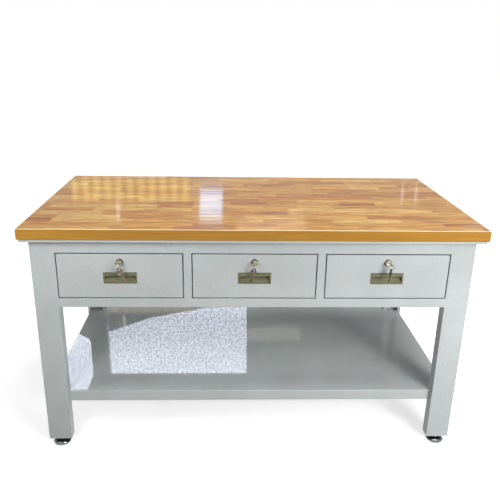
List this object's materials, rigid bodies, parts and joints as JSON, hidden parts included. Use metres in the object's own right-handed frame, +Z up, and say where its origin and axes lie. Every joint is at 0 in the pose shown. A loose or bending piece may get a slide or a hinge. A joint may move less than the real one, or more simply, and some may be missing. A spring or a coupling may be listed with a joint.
{
  "type": "jewellers workbench",
  "caption": "Seated workbench with a glossy finger-jointed wood top, a folded steel frame, lockable drawers under the top, a low shelf and levelling feet.",
  "frame": {"origin": "on the floor under the middle of the worktop", "axes": "+X to the right along the long side, +Y to the back, +Z up; the drawers open towards -Y"},
  "size_m": [1.5, 0.7527, 0.835],
  "materials": {
    "wood_top": "glossy varnish",
    "wood_edge": "satin varnish",
    "painted_steel": "light grey semi-gloss powder coat",
    "galvanised_steel": "zinc plated, satin",
    "pull_plastic": "olive, semi-gloss",
    "lock_nickel": "bright nickel plate",
    "key_nickel": "nickel plate, tumbled",
    "foot_chrome": "bright chrome plate"
  },
  "bodies": {
    "bench": {"worktop": "wood_top", "edge_bands": "wood_edge", "top_pan": "painted_steel", "worktop_screws": "galvanised_steel", "leg_front_left": "painted_steel", "leg_front_right": "painted_steel", "leg_rear_left": "painted_steel", "leg_rear_right": "painted_steel", "leg_base_plates": "painted_steel", "foot_lock_nuts": "foot_chrome", "front_top_rail": "painted_steel", "front_bottom_rail": "painted_steel", "rear_panel": "painted_steel", "divider_left": "painted_steel", "divider_right": "painted_steel", "side_panel_left": "painted_steel", "side_panel_right": "painted_steel", "frame_welds": "painted_steel", "shelf": "painted_steel", "shelf_ribs": "painted_steel", "runner_carrier_inner_left": "galvanised_steel", "runner_carrier_inner_right": "galvanised_steel", "runner_carrier_outer_left": "galvanised_steel", "runner_carrier_outer_right": "galvanised_steel", "slide_outer_members": "galvanised_steel"},
    "levelling_foot_front_left": {"foot_front_left": "foot_chrome"},
    "levelling_foot_front_right": {"foot_front_right": "foot_chrome"},
    "levelling_foot_rear_left": {"foot_rear_left": "foot_chrome"},
    "levelling_foot_rear_right": {"foot_rear_right": "foot_chrome"},
    "drawer_left": {"drawer_box_left": "painted_steel", "drawer_front_left": "painted_steel", "pull_left": "pull_plastic", "slide_inner_members_left": "galvanised_steel", "lock_barrel_left": "lock_nickel"},
    "lock_left": {"lock_plug_left": "lock_nickel", "lock_cam_left": "galvanised_steel"},
    "inserted_key_left": {"key_left": "key_nickel"},
    "ring_left": {"key_ring_left": "key_nickel"},
    "hanging_key_left": {"spare_key_left": "key_nickel"},
    "drawer_middle": {"drawer_box_middle": "painted_steel", "drawer_front_middle": "painted_steel", "pull_middle": "pull_plastic", "slide_inner_members_middle": "galvanised_steel", "lock_barrel_middle": "lock_nickel"},
    "lock_middle": {"lock_plug_middle": "lock_nickel", "lock_cam_middle": "galvanised_steel"},
    "inserted_key_middle": {"key_middle": "key_nickel"},
    "ring_middle": {"key_ring_middle": "key_nickel"},
    "hanging_key_middle": {"spare_key_middle": "key_nickel"},
    "drawer_right": {"drawer_box_right": "painted_steel", "drawer_front_right": "painted_steel", "pull_right": "pull_plastic", "slide_inner_members_right": "galvanised_steel", "lock_barrel_right": "lock_nickel"},
    "lock_right": {"lock_plug_right": "lock_nickel", "lock_cam_right": "galvanised_steel"},
    "inserted_key_right": {"key_right": "key_nickel"},
    "ring_right": {"key_ring_right": "key_nickel"},
    "hanging_key_right": {"spare_key_right": "key_nickel"}
  },
  "joints": [
    {"name": "front_left_foot_height", "type": "slide", "parent": "bench", "child": "levelling_foot_front_left", "axis": [0, 0, 1], "range_m": [-0.02, 0]},
    {"name": "front_right_foot_height", "type": "slide", "parent": "bench", "child": "levelling_foot_front_right", "axis": [0, 0, 1], "range_m": [-0.02, 0]},
    {"name": "rear_left_foot_height", "type": "slide", "parent": "bench", "child": "levelling_foot_rear_left", "axis": [0, 0, 1], "range_m": [-0.02, 0]},
    {"name": "rear_right_foot_height", "type": "slide", "parent": "bench", "child": "levelling_foot_rear_right", "axis": [0, 0, 1], "range_m": [-0.02, 0]},
    {"name": "drawer_left_slide", "type": "slide", "parent": "bench", "child": "drawer_left", "axis": [0, -1, 0], "range_m": [0, 0.4]},
    {"name": "lock_left_turn", "type": "hinge", "parent": "drawer_left", "child": "lock_left", "pos_m": [-0.44067, -0.335, 0.71], "axis": [0, 1, 0], "range_deg": [0, 90]},
    {"name": "key_left_draw", "type": "slide", "parent": "lock_left", "child": "inserted_key_left", "axis": [0, -1, 0], "range_m": [0, 0.026]},
    {"name": "ring_left_swing", "type": "hinge", "parent": "inserted_key_left", "child": "ring_left", "pos_m": [-0.43817, -0.36203, 0.71], "axis": [-0.866, -0.5, 0], "range_deg": [-6, 12]},
    {"name": "hanging_key_left_swing", "type": "hinge", "parent": "ring_left", "child": "hanging_key_left", "pos_m": [-0.43817, -0.36203, 0.696], "axis": [0.5, -0.866, 0], "range_deg": [-75, 30]},
    {"name": "drawer_middle_slide", "type": "slide", "parent": "bench", "child": "drawer_middle", "axis": [0, -1, 0], "range_m": [0, 0.4]},
    {"name": "lock_middle_turn", "type": "hinge", "parent": "drawer_middle", "child": "lock_middle", "pos_m": [0, -0.335, 0.71], "axis": [0, 1, 0], "range_deg": [0, 90]},
    {"name": "key_middle_draw", "type": "slide", "parent": "lock_middle", "child": "inserted_key_middle", "axis": [0, -1, 0], "range_m": [0, 0.026]},
    {"name": "ring_middle_swing", "type": "hinge", "parent": "inserted_key_middle", "child": "ring_middle", "pos_m": [-0.0025, -0.36203, 0.71], "axis": [-0.866, 0.5, 0], "range_deg": [-6, 12]},
    {"name": "hanging_key_middle_swing", "type": "hinge", "parent": "ring_middle", "child": "hanging_key_middle", "pos_m": [-0.0025, -0.36203, 0.696], "axis": [-0.5, -0.866, 0], "range_deg": [-30, 75]},
    {"name": "drawer_right_slide", "type": "slide", "parent": "bench", "child": "drawer_right", "axis": [0, -1, 0], "range_m": [0, 0.4]},
    {"name": "lock_right_turn", "type": "hinge", "parent": "drawer_right", "child": "lock_right", "pos_m": [0.44067, -0.335, 0.71], "axis": [0, 1, 0], "range_deg": [0, 90]},
    {"name": "key_right_draw", "type": "slide", "parent": "lock_right", "child": "inserted_key_right", "axis": [0, -1, 0], "range_m": [0, 0.026]},
    {"name": "ring_right_swing", "type": "hinge", "parent": "inserted_key_right", "child": "ring_right", "pos_m": [0.44481, -0.3605, 0.71], "axis": [-0.5592, -0.829, 0], "range_deg": [-6, 12]},
    {"name": "hanging_key_right_swing", "type": "hinge", "parent": "ring_right", "child": "hanging_key_right", "pos_m": [0.44481, -0.3605, 0.696], "axis": [0.829, -0.5592, 0], "range_deg": [-50, 30]}
  ]
}
